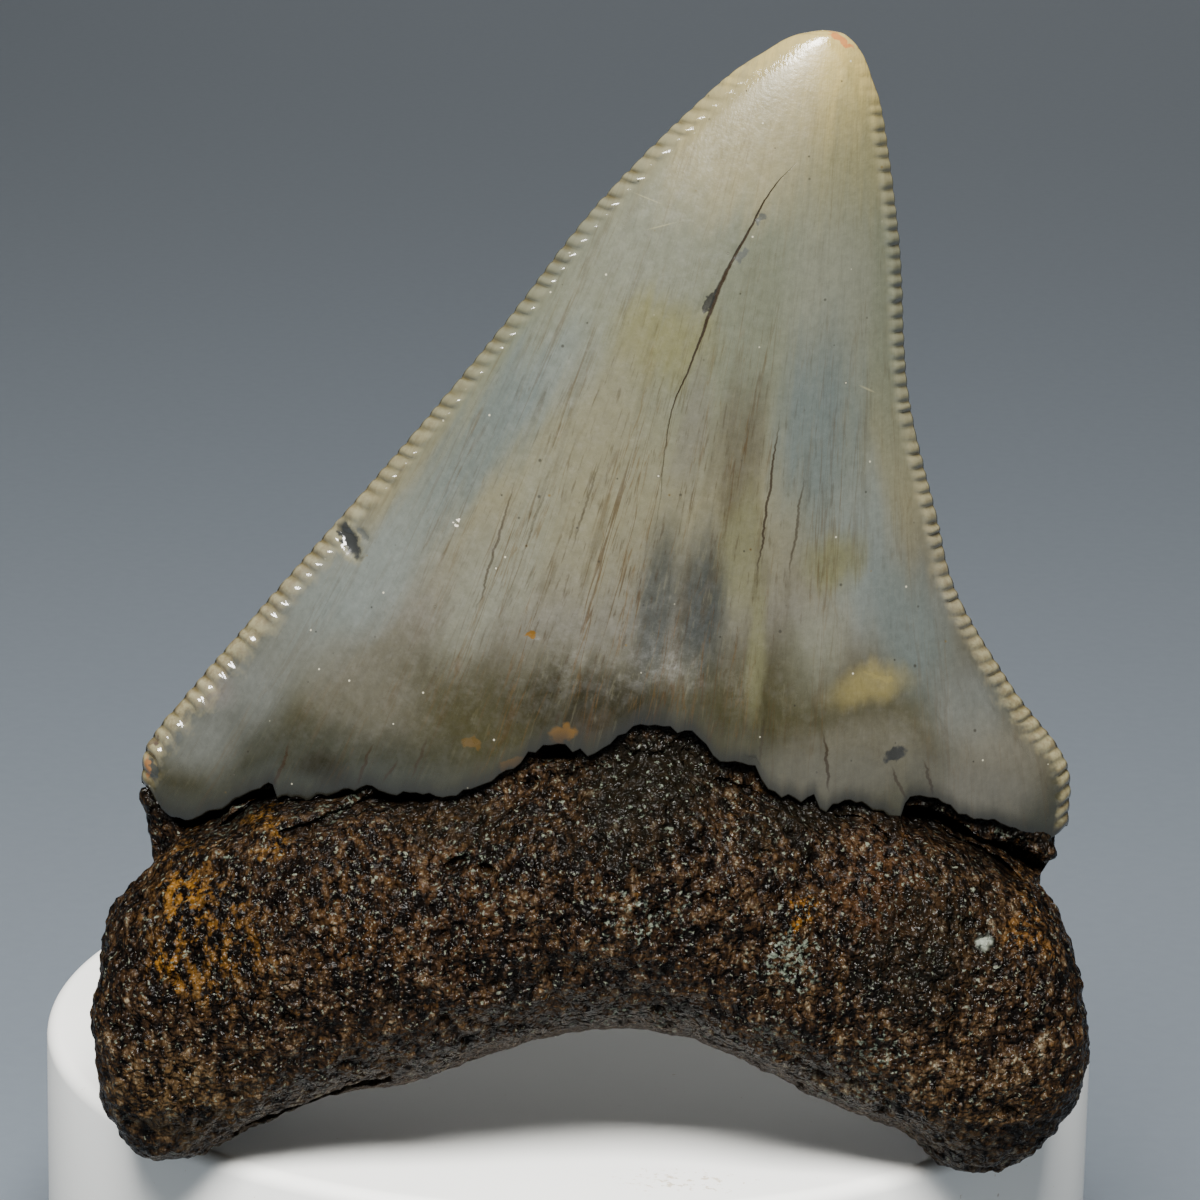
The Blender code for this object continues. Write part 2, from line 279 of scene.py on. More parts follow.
def makeBlade():
    (x, y, z, rim, above, thickness, groove), corner, across = bladeRows()
    points = np.stack([x, y, z], axis=-1)
    frontSide = np.clip((blade["middleY"] - y) / 0.15, 0, 1)
    # slow swells of the enamel, and the faint lengthwise ribs that catch the light
    inner = ease(rim / 2.0)
    wave = blade["waveHeight"] * noiseField(points * (1, 1, 0.6), blade["waveSize"])
    ribs = blade["ribHeight"] * noiseField(points * (1, 1, 0.25), blade["ribSize"], 7)
    push = (wave + ribs) * inner * np.sign(blade["middleY"] - y)
    for cx, cz, rx, rz, turn, deep in blade["dents"]:
        c, s = math.cos(math.radians(turn)), math.sin(math.radians(turn))
        u = ((x - cx) * c + (z - cz) * s) / rx
        v = (-(x - cx) * s + (z - cz) * c) / rz
        bowl = np.clip(1.25 - (u * u + v * v) * 1.25, 0, 1) ** 0.8
        push = push - deep * bowl * frontSide
    limit = 0.6 * thickness + 0.04
    push = np.maximum(push, -limit)
    y += -push * np.sign(blade["middleY"] - y + 1e-9) * (np.abs(y - blade["middleY"]) > 1e-6)
    # the lip: round under, go up a little behind the enamel, then close on a point inside the root
    lastX, lastY, lastZ = x[-1], y[-1], z[-1]
    side = np.sign(blade["middleY"] - lastY)
    room = np.abs(lastY - blade["middleY"])
    centreX = corner[0] + across[0] / 2
    rows = [np.stack([x, y, z], axis=-1)]
    for angle in np.radians([30, 60, 90, 120, 150, 180]):
        radius = np.minimum(blade["lipRadius"], 0.3 * room + 0.02)
        inset = np.minimum(radius * (1 - np.cos(angle)), 0.8 * room)
        narrow = 1 - radius * (1 - np.cos(angle)) / (across[0] / 2)
        ring = [centreX + (lastX - centreX) * narrow, lastY + side * inset, lastZ - radius * np.sin(angle)]
        rows.append(np.stack(ring, axis=-1)[None])
    inner = rows[-1][0] * 1.0
    inner[:, 1] += side * np.minimum(0.5, 0.3 * room)
    inner[:, 2] += 0.5
    rows += [inner[None], np.broadcast_to([centreX, blade["middleY"], 19.5], inner.shape)[None]]
    points = np.concatenate(rows, axis=0)
    extra = len(points) - len(x)
    sunk = -0.1 * np.arange(1, extra + 1)[:, None]          # rows past the enamel line count as below it
    values = {
        "rim": np.concatenate([rim, np.repeat(rim[-1:], extra, axis=0)]),
        "above": np.concatenate([above, np.repeat(sunk, x.shape[1], axis=1)]),
        "groove": np.concatenate([groove, np.zeros((extra, x.shape[1]))]),
    }
    shape = bmesh.new()
    layers = [(shape.verts.layers.float.new(key), field.tolist()) for key, field in values.items()]
    wrapRows(shape, points, layers)
    return finishShape(shape, "enamelBlade")


# the root: an arch with two lobes, and a neck that goes up inside the enamel
root = {
    "middleY": -21.1, "crestY": -19.6, "halfThickness": 7.4, "squareness": 2.5, "endSquareness": 5.0,
    "backDrop": 2.2, "restHeight": 0.3,
    "crest": [(-24.9, 6.4), (-25.0, 8.6), (-24.8, 11.3), (-24.4, 13.0), (-23.5, 14.3), (-22.4, 15.6),
              (-20.9, 16.9), (-19.2, 17.9), (-16.9, 19.2), (-14.9, 19.9), (-12.4, 20.3), (-9.5, 20.6),
              (-5.0, 20.9), (-1.8, 22.3), (1.0, 23.2), (4.0, 24.2), (6.6, 23.5), (9.5, 22.1),
              (13.0, 20.6), (16.6, 19.9), (18.3, 19.6), (19.9, 18.6), (21.8, 17.6), (23.6, 16.7),
              (25.0, 15.3), (26.1, 13.4), (27.0, 11.3), (27.5, 8.4)],
    "bottom": [(-24.9, 6.4), (-24.6, 3.4), (-23.6, 1.2), (-21.9, 0.0), (-19.8, -0.1), (-17.2, 1.1),
               (-12.7, 3.4), (-8.0, 4.6), (-2.6, 6.8), (1.8, 7.7), (5.7, 7.4), (9.8, 6.1),
               (13.6, 3.7), (17.6, 2.4), (20.4, 0.3), (22.9, -0.2), (25.0, 0.7), (26.8, 3.2),
               (27.4, 5.9), (27.5, 8.4)],
    "stations": 180, "sides": 90,
    "neckEnds": (-22.35, 25.1), "neckSetback": 0.38, "neckBackSetback": 0.5, "neckTuck": 0.8,
    "neckFlare": (0.6, 1.0),       # how far the neck's left and right ends lean out towards the lip
    # loose bits of the root that still cling under the right end of the enamel
    "fragments": [((21.6, -20.6, 18.0), (1.0, 0.5, 0.33), 12), ((24.9, -18.9, 17.0), (1.35, 0.75, 0.6), 35),
                  ((23.2, -19.7, 17.8), (1.2, 0.5, 0.4), 18)],
    "voxel": 0.21, "smoothing": 3,
    "lumps": [(5.0, 0.4), (1.9, 0.24), (1.1, 0.1)],        # size and height
    "grain": 0.8, "grainHeight": 0.2, "fineSize": 0.45, "fineHeight": 0.15,
    "pitSpacing": 2.4, "pitWidth": 0.2, "pitDepth": 0.4, "wornBand": 2.2,
    # hollows carved from the front: places along each, then half width and depth
    "grooves": [
        ([(-20.6, 17.5), (-19.4, 18.0), (-18.2, 18.5), (-16.9, 19.1), (-15.4, 19.5)], 0.7, 2.4),
        ([(-15.8, 19.4), (-14.4, 19.6), (-12.8, 19.8), (-11.4, 20.5)], 0.22, 1.0),
        ([(-15.0, 18.5), (-13.2, 19.0), (-11.6, 19.6), (-9.9, 20.2), (-7.6, 20.3)], 0.34, 0.7),
        ([(-1.3, 23.0), (-0.2, 23.1)], 0.55, 1.9),
        ([(17.8, 19.5), (18.9, 19.2), (20.4, 18.3), (22.2, 17.2), (23.8, 16.5), (24.9, 15.7)], 0.5, 2.4),
        ([(13.9, 19.7), (15.3, 19.5), (16.6, 18.9)], 0.2, 0.6),
        ([(-17.4, 2.2), (-15.4, 3.4), (-13.2, 4.2), (-11.0, 5.1), (-9.4, 5.7)], 0.24, 0.6),
        ([(-6.2, 17.7), (-5.6, 17.9)], 0.4, 0.6), ([(-4.4, 17.6), (-4.2, 17.5)], 0.5, 0.7),
        ([(7.6, 21.9), (9.2, 21.4), (10.4, 20.6)], 0.2, 0.4),
    ],
}


def bodyRows():
    crest, bottom = smoothPath(root["crest"], root["stations"]), smoothPath(root["bottom"], root["stations"])
    share = np.abs(np.linspace(-1, 1, root["stations"] + 1))[:, None]
    halfY = root["halfThickness"] * np.sqrt(1 - share ** root["endSquareness"])
    turn = np.linspace(0, 2 * math.pi, root["sides"], endpoint=False)
    across, up = np.sin(turn), np.cos(turn)
    power = root["squareness"]
    grow = (np.abs(across) ** power + np.abs(up) ** power) ** (-1 / power)
    height = (1 + up * grow) / 2
    x = bottom[:, :1] + (crest - bottom)[:, :1] * height
    z = bottom[:, 1:] + (crest - bottom)[:, 1:] * height
    lean = (root["crestY"] - root["middleY"]) * ease(2 * height - 1) * (1 - share ** 2)
    y = root["middleY"] - halfY * across * grow + lean
    z = z + np.where((across < 0) & (up > 0), root["backDrop"] * up * across, 0.0)
    rows = np.stack([x, y + 0 * x, np.maximum(z, root["restHeight"])], axis=-1)
    for end in (0, -1):
        rows[end] = rows[end].mean(axis=0)
    return rows


def neckRows():
    line = smoothPath(blade["enamelLine"], 900)
    left, right = np.array(blade["leftEdge"][-1]), np.array(blade["rightEdge"][-1])
    start, end = root["neckEnds"]
    x = start + (end - start) * ease(np.linspace(0, 1, 241)) * 0.5 + (end - start) * np.linspace(0, 0.5, 241)
    share = (x - left[0]) / (right[0] - left[0])
    frontLine = np.interp(x, *line.T)
    backLine = left[1] + (right[1] - left[1]) * share + blade["backArch"] * 4 * share * (1 - share)
    full = blade["frontBulge"] * (right[0] - left[0]) ** blade["bulgePower"] * swell(share)
    ends = np.sqrt(np.clip(1 - np.clip(1 - np.minimum(x - start, end - x) / 0.5, 0, 1) ** 2, 0, 1))
    front = np.maximum(full - root["neckSetback"], np.minimum(0.5, 0.8 * full)) * (0.25 + 0.75 * ends)
    back = np.maximum(full * blade["backBulge"] - root["neckBackSetback"], 0.3) * (0.25 + 0.75 * ends)
    tuck = np.clip(np.minimum(x - start, end - x) / 2 - 0.9, -0.9, 1)
    top = np.maximum(frontLine, backLine) + root["neckTuck"] * tuck
    low = np.interp(x, [start, start + 3, end - 4, end], [14.0, 13.5, 13.5, 13.8])
    turn = np.linspace(0, 2 * math.pi, 120, endpoint=False)
    across, up = np.sin(turn), np.cos(turn)
    grow = (np.abs(across) ** 8 + np.abs(up) ** 8) ** (-1 / 8)
    z = (top + low)[:, None] / 2 + (top - low)[:, None] / 2 * up * grow
    y = blade["middleY"] + ((back - front)[:, None] - (back + front)[:, None] * across * grow) / 2
    climb = np.clip((z - 14.9) / 3.0, 0, 1)
    flareLeft, flareRight = root["neckFlare"]
    flare = flareRight * ease((x - end + 4) / 4)[:, None] - flareLeft * ease((start + 4 - x) / 4)[:, None]
    rows = np.stack([x[:, None] + flare * climb, y, z], axis=-1)
    for cap in (0, -1):
        rows[cap] = rows[cap].mean(axis=0)
    return rows


def grooveShare(x, z, places, halfWidth):
    # 1 along the middle of a groove, 0 beyond its half width
    nearest = np.full(x.shape, 99.0)
    for (ax, az), (bx, bz) in zip(places, places[1:]):
        t = np.clip(((x - ax) * (bx - ax) + (z - az) * (bz - az)) / ((bx - ax) ** 2 + (bz - az) ** 2), 0, 1)
        nearest = np.minimum(nearest, np.hypot(x - ax - t * (bx - ax), z - az - t * (bz - az)))
    return ease(1.35 - 1.35 * nearest / halfWidth)


def makeRoot():
    shape = bmesh.new()
    wrapRows(shape, bodyRows())
    wrapRows(shape, neckRows())
    for centre, sizes, turn in root["fragments"]:
        place = Matrix.Translation((Vector(centre) + Vector((0, 0, plinthTop))) * mm)
        place = place @ Matrix.Rotation(math.radians(turn), 4, "Y")
        bmesh.ops.create_icosphere(shape, subdivisions=3, radius=mm,
                                   matrix=place @ Matrix.Diagonal((*sizes, 1)))
    piece = finishShape(shape, "rootBody")
    mesh = piece.data
    weld = piece.modifiers.new("oneSkin", "REMESH")      # body, neck and fragments become one skin
    weld.mode = "VOXEL"
    weld.voxel_size = root["voxel"] * mm
    whole = piece.evaluated_get(bpy.context.evaluated_depsgraph_get())
    shape = bmesh.new()
    shape.from_mesh(whole.to_mesh())
    whole.to_mesh_clear()
    piece.modifiers.clear()
    for step in range(root["smoothing"]):
        bmesh.ops.smooth_vert(shape, verts=shape.verts, factor=0.5, use_axis_x=True, use_axis_y=True,
                              use_axis_z=True)
    shape.normal_update()
    shape.to_mesh(mesh)
    shape.free()

    count = len(mesh.vertices)
    flat, normals = np.zeros(count * 3, np.float32), np.zeros(count * 3, np.float32)
    mesh.vertices.foreach_get("co", flat)
    mesh.vertex_normals.foreach_get("vector", normals)
    points = flat.reshape(-1, 3) / mm - (0, 0, plinthTop)
    normals = normals.reshape(-1, 3)
    x, y, z = points.T
    lump = sum(tall * noiseField(points, size) for size, tall in root["lumps"])
    cells = cellField(points * (1.15, 1.15, 0.8), root["grain"])
    fine = noiseField(points, root["fineSize"], 3)
    pits = np.clip(1 - cellField(points, root["pitSpacing"], 11) / root["pitWidth"], 0, 1) ** 0.7
    line = smoothPath(blade["enamelLine"], 900)
    below = np.interp(x, *line.T) - z                       # how far under the enamel line
    bare = ease((below + 0.1) / 0.5)                        # nothing is raised inside the enamel
    arch = np.interp(x, *smoothPath(root["bottom"], 300).T)
    rim = ease(1 - (z - arch) / root["wornBand"]) * (np.abs(x - 2) < 16)
    rough = (root["grainHeight"] * (0.45 - cells) + root["fineHeight"] * fine) * (1 - 0.6 * rim)
    carve, dark = np.zeros(count), np.zeros(count)
    front = ease((-0.05 - normals[:, 1]) / 0.2) * (y < blade["middleY"])
    # the carved hollows are also marked for painted shade, stored as the crevice attribute
    for places, halfWidth, depth in root["grooves"]:
        share = grooveShare(x, z, places, halfWidth) * front
        carve = np.maximum(carve, depth * share)
        dark = np.maximum(dark, share * min(1.0, 0.35 + 0.4 * depth))
    raised = (lump + rough - root["pitDepth"] * pits) * bare
    moved = points + normals * raised[:, None]
    moved[:, 1] += carve
    moved[:, 2] = np.maximum(moved[:, 2], root["restHeight"])
    mesh.vertices.foreach_set("co", ((moved + (0, 0, plinthTop)) * mm).astype(np.float32).ravel())
    fields = {"below": below, "crevice": dark, "relief": rough / root["fineHeight"], "rim": rim, "pit": pits}
    for name, values in fields.items():
        layer = mesh.attributes.new(name, "FLOAT", "POINT")
        layer.data.foreach_set("value", values.astype(np.float32))
    mesh.shade_smooth()
    mesh.update()
    return piece


plinth = {"topRound": 0.8, "footRound": 0.5, "turns": 256}


def makePlinth():
    outline = [(0, plinthTop)]
    for step in range(7):
        angle = math.radians(90 - 15 * step)
        outline.append((plinthRadius + plinth["topRound"] * (math.cos(angle) - 1),
                        plinthTop + plinth["topRound"] * (math.sin(angle) - 1)))
    for step in range(5):
        angle = math.radians(-22.5 * step)
        outline.append((plinthRadius + plinth["footRound"] * (math.cos(angle) - 1),
                        plinth["footRound"] * (math.sin(angle) + 1)))
    outline.append((0, 0))
    shape = bmesh.new()
    verts = [shape.verts.new((r * mm, 0, z * mm)) for r, z in outline]
    edges = [shape.edges.new(pair) for pair in zip(verts, verts[1:])]
    bmesh.ops.spin(shape, geom=verts + edges, cent=(0, 0, 0), axis=(0, 0, 1), angle=2 * math.pi,
                   steps=plinth["turns"], use_merge=True)
    bmesh.ops.remove_doubles(shape, verts=shape.verts, dist=weldGap)
    drum = finishShape(shape, "plinthDrum")
    for face in drum.data.polygons:
        face.use_smooth = abs(face.normal.z) < 0.999         # the top and the foot stay flat
    return drum


enamelLook = {
    # width in millimetres of one spot, streak or line of each pattern
    "sizes": {
        "streak": 0.8333, "fine": 0.1667, "drift": 1.4286, "thinLines": 0.9091, "closeLines": 0.4348,
        "mottle": 0.4167, "speckle": 1.0526, "wander": 0.9091, "rimPatch": 1.25, "raggedness": 0.4,
        "wear": 0.625, "grain": 0.2,
    },
    "colours": {
        "cream": "988751", "paleSand": "656049", "stone": "4b4d40", "khaki": "504e34", "tan": "53503f",
        "blueGrey": "3f4645", "paleBlue": "4c5250", "slate": "1b1f1f", "ochre": "5b5332",
        "mustard": "494833", "olive": "262414", "darkOlive": "110f05", "greyGreen": "20221d",
        "ash": "474946", "umber": "272118",
        "taupe": "47453d", "lilac": "514d4a", "haze": "535449",
    },
    # the ground colour at heights up the blade: paler towards the tip and darker low down, partly the
    # enamel's own stain and partly painted light and shade
    "ground": [(17.0, "greyGreen"), (21.0, "olive"), (25.0, "olive"), (30.0, "taupe"), (36.0, "tan"),
               (43.0, "stone"), (50.0, "stone"), (54.5, "paleSand"), (59.0, "cream")],
    # broad stains: x, z, half width, half height, lean in degrees, colour, strength
    "stains": [
        (8.0, 55.4, 3.6, 5.4, 42, "paleSand", 0.8), (13.9, 54.0, 2.4, 5.5, 5, "khaki", 0.5),
        (2.6, 48.6, 4.2, 5.6, 38, "haze", 0.6), (3.6, 44.4, 3.4, 2.4, 0, "khaki", 0.85),
        (13.0, 46.5, 2.6, 6.5, -3, "haze", 0.8), (-1.2, 42.6, 2.0, 4.0, 40, "paleBlue", 0.6),
        (-5.4, 38.4, 2.0, 6.4, 40, "blueGrey", 0.8), (-11.9, 30.4, 2.2, 6.8, 42, "paleBlue", 0.75),
        (-17.6, 24.6, 2.2, 3.2, 40, "ash", 0.8), (0.7, 37.9, 3.0, 6.6, 14, "tan", 0.75),
        (-2.6, 34.0, 1.6, 5.0, 20, "haze", 0.5), (8.3, 38.0, 1.5, 5.2, 6, "umber", 0.55),
        (8.6, 33.6, 1.6, 3.6, 0, "mustard", 0.7), (5.8, 39.8, 1.1, 3.6, 8, "taupe", 0.6),
        (12.6, 39.6, 2.2, 6.0, 2, "blueGrey", 0.85), (15.1, 33.6, 1.9, 4.8, -5, "paleBlue", 0.75),
        (17.6, 29.2, 2.0, 4.0, -22, "blueGrey", 0.75), (21.0, 24.6, 2.0, 3.0, -35, "ash", 0.8),
        (13.4, 33.1, 1.7, 1.6, 0, "mustard", 0.9), (15.5, 26.4, 2.2, 1.0, -8, "ochre", 0.7),
        (12.6, 28.4, 1.6, 3.4, 20, "haze", 0.55), (4.2, 31.0, 1.2, 4.4, 5, "slate", 0.75),
        # in the middle just above the enamel line, the olive and dark olive stains are partly stain and
        # partly painted shade of a shallow hollow
        (6.6, 30.6, 1.4, 4.0, 0, "slate", 0.85), (-0.5, 24.6, 9.0, 3.2, 8, "olive", 0.75),
        (1.4, 25.7, 5.0, 2.2, 4, "darkOlive", 0.8), (-11.6, 25.8, 4.4, 2.6, 24, "taupe", 0.5),
        (-5.4, 31.0, 1.6, 3.6, 18, "haze", 0.55), (-12.7, 21.6, 8.0, 2.6, 0, "greyGreen", 0.75),
        (-13.0, 21.6, 1.5, 0.9, 0, "darkOlive", 0.8), (-20.2, 22.0, 2.4, 1.9, 0, "ash", 0.7),
        (9.4, 25.0, 4.0, 4.2, 0, "olive", 0.85), (14.6, 22.6, 5.6, 2.4, -8, "taupe", 0.6),
        (22.2, 21.2, 4.0, 2.8, -14, "taupe", 0.9), (9.5, 29.2, 0.6, 3.8, 3, "mustard", 0.7),
        (-19.4, 24.9, 1.5, 1.1, 20, "lilac", 0.6), (1.0, 24.9, 1.2, 0.9, 0, "umber", 0.5),
    ],
    # small marks with a firm edge: x, z, half length, half width, turn in degrees, colour, strength
    "marks": [
        (-0.5, 24.4, 0.7, 0.5, 20, "4f370d", 0.75), (-3.1, 22.7, 0.7, 0.25, 30, "4f370d", 0.5),
        (-5.2, 23.6, 0.5, 0.3, 0, "4f370d", 0.35), (-2.2, 29.3, 0.34, 0.13, 20, "4f370d", 1.0),
        (15.9, 27.0, 0.9, 0.12, -20, "5b5332", 0.6),
        (-12.15, 33.15, 1.4, 0.75, -56, "5f5c49", 0.7), (-11.95, 33.15, 1.15, 0.45, -56, "1b1d1f", 0.95),
        (-11.2, 33.45, 0.45, 0.2, -40, "3d3f3c", 0.8),
        (16.95, 22.95, 0.62, 0.38, 25, "151719", 0.85),
        (-22.35, 20.1, 0.34, 0.55, 10, "202324", 0.85), (-22.6, 20.2, 0.16, 0.6, 8, "6b4a2c", 0.8),
        (-22.45, 21.7, 0.4, 0.3, 0, "332826", 0.85), (9.15, 51.0, 0.36, 0.22, 50, "343633", 0.85),
        (8.3, 49.15, 0.42, 0.2, 60, "393b38", 0.85), (6.7, 46.75, 0.75, 0.2, 64, "171715", 0.9),
        (-6.35, 34.6, 0.15, 0.12, 0, "b5b0a0", 1.0), (-6.05, 34.85, 0.11, 0.09, 0, "b5b0a0", 1.0),
        (13.1, 60.0, 0.8, 0.15, -35, "94532a", 0.75),
    ],
    # scratches and scuffs: x, z, half length, half width, turn
    "scratches": [(3.4, 51.7, 0.75, 0.03, -16), (4.1, 50.4, 0.75, 0.03, 18), (10.9, 56.6, 0.7, 0.03, -24),
                  (15.0, 41.9, 0.45, 0.05, -28)],
    "scratched": 0.22,
    # hairline cracks along the fan of the streaks: place across, middle z, half length, slant, strength
    "cracks": [
        (-4.48, 36.4, 4.8, 1, 0.9), (-2.95, 34.9, 3.0, 3, 0.65), (-16.85, 33.6, 4.0, -5, 0.65),
        (-13.35, 36.1, 2.8, 0, 0.5), (-15.5, 35.1, 2.4, 0, 0.4), (-7.6, 28.4, 2.8, 6, 0.35),
        (-21.57, 21.3, 1.7, -5, 0.9), (-18.55, 21.9, 1.5, -2, 0.8), (-17.5, 21.8, 0.7, 11, 0.7),
        (-16.62, 22.6, 1.3, -2, 0.6), (-1.0, 22.7, 1.8, -5, 0.8), (1.8, 21.3, 1.2, -17, 0.7),
        (2.95, 21.5, 1.2, -9, 0.7), (-3.6, 24.1, 1.6, 0, 0.4),
    ],
    "crackHalfWidth": 0.08,
    "streaked": (3.0, 33.0, 11.0, 15.0, 12),         # where the streaks are strong
    "fanX": 14.7, "fanZ": 84.0, "fanScale": 45.0,    # where the streaks would meet, above the tip
    # the long crack down from the tip: z then x
    "longCrack": [(33.0, 3.5), (35.5, 4.2), (39.2, 4.55), (41.3, 4.9), (42.4, 5.35), (43.9, 5.92),
                  (45.9, 6.62), (47.7, 7.25), (49.7, 8.25), (50.8, 8.82), (52.0, 9.4), (53.9, 11.0)],
    "crackBand": (2.0, 12.0), "longCrackWidth": 0.15,
    # how open the long crack is: share of its length, share of its width
    "crackOpen": [(0.0, 0.1), (1.0, 0.15), (0.35, 0.25), (0.5, 0.4), (0.61, 0.75), (0.68, 1.0),
                  (0.75, 0.75), (0.87, 0.45)],
    # specks on two patterns of cells, the pale ones partly painted glints: colour, size in millimetres,
    # share of the cells
    "speckles": [[("1c1a15", 0.07, 0.2), ("a8a490", 0.045, 0.35)],
                 [("4a3a17", 0.06, 0.12), ("15140f", 0.045, 0.3)]],
}


def enamelMaterial():
    # fossil enamel, a dense phosphate glaze: glossy, with stain colours under a clear skin
    material, add, link, shader = startMaterial("fossilEnamel")
    look, size = enamelLook, enamelLook["sizes"]
    colours = {name: linearColour(code) for name, code in look["colours"].items()}
    place = add("TexCoord", out=3)
    place = add("Mapping", {0: place, 1: (0, 0, -plinthTop), 3: (1000, 1000, 1000)})
    x, y, z = add("SeparateXYZ", {0: place}).node.outputs
    frontFace = add("MapRange", {0: y, 1: blade["middleY"] + 0.1, 2: blade["middleY"] - 0.3})
    rim, above, groove = [add("Attribute", out=2, attribute_name=name)
                          for name in ("rim", "above", "groove")]

    # streaks fan out from a point above the tip
    fromX = add("Math", {0: x, 1: look["fanX"]}, operation="SUBTRACT")
    fromZ = add("Math", {0: look["fanZ"], 1: z}, operation="SUBTRACT")
    fan = add("Math", {0: fromX, 1: fromZ}, operation="DIVIDE")
    fan = add("Math", {0: fan, 1: look["fanScale"]}, operation="MULTIPLY")
    fanPlace = add("CombineXYZ", {0: fan, 1: y, 2: z})
    longWay = add("Mapping", {0: fanPlace, 3: (1.0, 0.5, 0.10)})
    streaks = add("TexNoise", {0: longWay, "Scale": 1 / size["streak"], "Detail": 4.0, "Roughness": 0.65})
    fineWay = add("Mapping", {0: fanPlace, 3: (1.0, 0.5, 0.07)})
    fine = add("TexNoise", {0: fineWay, "Scale": 1 / size["fine"], "Detail": 3.0, "Roughness": 0.65})
    shiftX = add("TexNoise", {0: longWay, "Scale": 1 / size["drift"], "Detail": 3.0, "Roughness": 0.65})
    otherWay = add("Mapping", {0: longWay, 1: (7, 3, 5)})
    shiftZ = add("TexNoise", {0: otherWay, "Scale": 1 / size["drift"], "Detail": 3.0, "Roughness": 0.65})
    warpX = add("MapRange", {0: shiftX, 3: -1.6, 4: 1.6})
    warpZ = add("MapRange", {0: shiftZ, 3: -2.5, 4: 2.5})
    warp = add("CombineXYZ", {0: warpX, 2: warpZ})
    calm = add("MapRange", {0: z, 1: 26.0, 2: 37.0, 3: 0.35})
    warp = add("VectorMath", {0: warp, 3: calm}, operation="SCALE")
    moved = add("VectorMath", {0: place, 1: warp}, operation="ADD")
    movedZ = add("SeparateXYZ", {0: moved}, out=2)

    # ground ramp by height: stain, with painted light towards the tip and painted shade low down
    lowest, highest = look["ground"][0][0], look["ground"][-1][0]
    level = add("MapRange", {0: movedZ, 1: lowest, 2: highest})
    ground = [((height - lowest) / (highest - lowest), colours[name]) for height, name in look["ground"]]
    colour = fillRamp(add("ValToRGB", {0: level}).node, ground)
    for *spot, name, strength in look["stains"]:
        mask = patch(add, moved, spot, 1.4, 0.35, strength)
        colour = add("Mix", {0: mask, 6: colour, 7: colours[name]}, **blend)

    # brown and olive streaks, strongest in the middle of the blade, and pale ones between them
    middle = patch(add, moved, look["streaked"], 1.3, 0.2)
    middle = add("MapRange", {0: middle, 3: 0.25})
    for source, start, end, code, strength in (
            (streaks, 0.52, 0.68, "2b2518", 0.4), (streaks, 0.48, 0.33, "4a483c", 0.2),
            (fine, 0.56, 0.7, "241a0b", 0.5), (fine, 0.44, 0.3, "565341", 0.2)):
        mask = add("MapRange", {0: source, 1: start, 2: end, 4: strength}, **soft)
        mask = add("Math", {0: mask, 1: middle}, operation="MULTIPLY")
        colour = add("Mix", {0: mask, 6: colour, 7: linearColour(code)}, **blend)

    linesWay = add("Mapping", {0: fanPlace, 3: (1.0, 0.0, 0.05)})
    for name, code, strength in (("thinLines", "2c1e0a", 0.65), ("closeLines", "3a2a10", 0.5)):
        thin = add("TexNoise", {0: linesWay, "Scale": 1 / size[name], "Detail": 3.0, "Roughness": 0.5})
        thin = add("Math", {0: thin, 1: 0.5}, operation="SUBTRACT")
        thin = add("Math", {0: thin}, operation="ABSOLUTE")
        mask = add("MapRange", {0: thin, 1: 0.016, 2: 0.004, 4: strength}, **soft)
        broken = add("MapRange", {0: shiftZ, 1: 0.42, 2: 0.58}, **soft)
        mask = add("Math", {0: mask, 1: broken}, operation="MULTIPLY")
        mask = add("Math", {0: mask, 1: middle}, operation="MULTIPLY")
        colour = add("Mix", {0: mask, 6: colour, 7: linearColour(code)}, **blend)

    # a fine mottle all over, and pinpoint specks: dark, pale and ochre, the pale ones partly painted glints
    mottle = add("TexNoise", {0: place, "Scale": 1 / size["mottle"], "Detail": 4.0, "Roughness": 0.7})
    shade = add("MapRange", {0: mottle, 1: 0.3, 2: 0.7, 3: 0.89, 4: 1.11})
    colour = add("HueSaturation", {"Value": shade, "Color": colour})
    for number, kinds in enumerate(look["speckles"]):
        apart = (31 * number, 17 * number, 23 * number)
        seedPlace = add("VectorMath", {0: place, 1: apart}, operation="ADD")
        cell = add("TexVoronoi", {0: seedPlace, "Scale": 1 / size["speckle"]}).node
        luck = add("SeparateColor", {0: cell.outputs[1]}).node
        for channel, (code, wide, share) in enumerate(kinds):
            chosen = add("Math", {0: luck.outputs[channel], 1: share}, operation="LESS_THAN")
            dot = add("MapRange", {0: cell.outputs[0], 1: wide * 1.6, 2: wide * 0.7, 4: 0.7}, **soft)
            dot = add("Math", {0: dot, 1: chosen}, operation="MULTIPLY", use_clamp=True)
            colour = add("Mix", {0: dot, 6: colour, 7: linearColour(code)}, **blend)

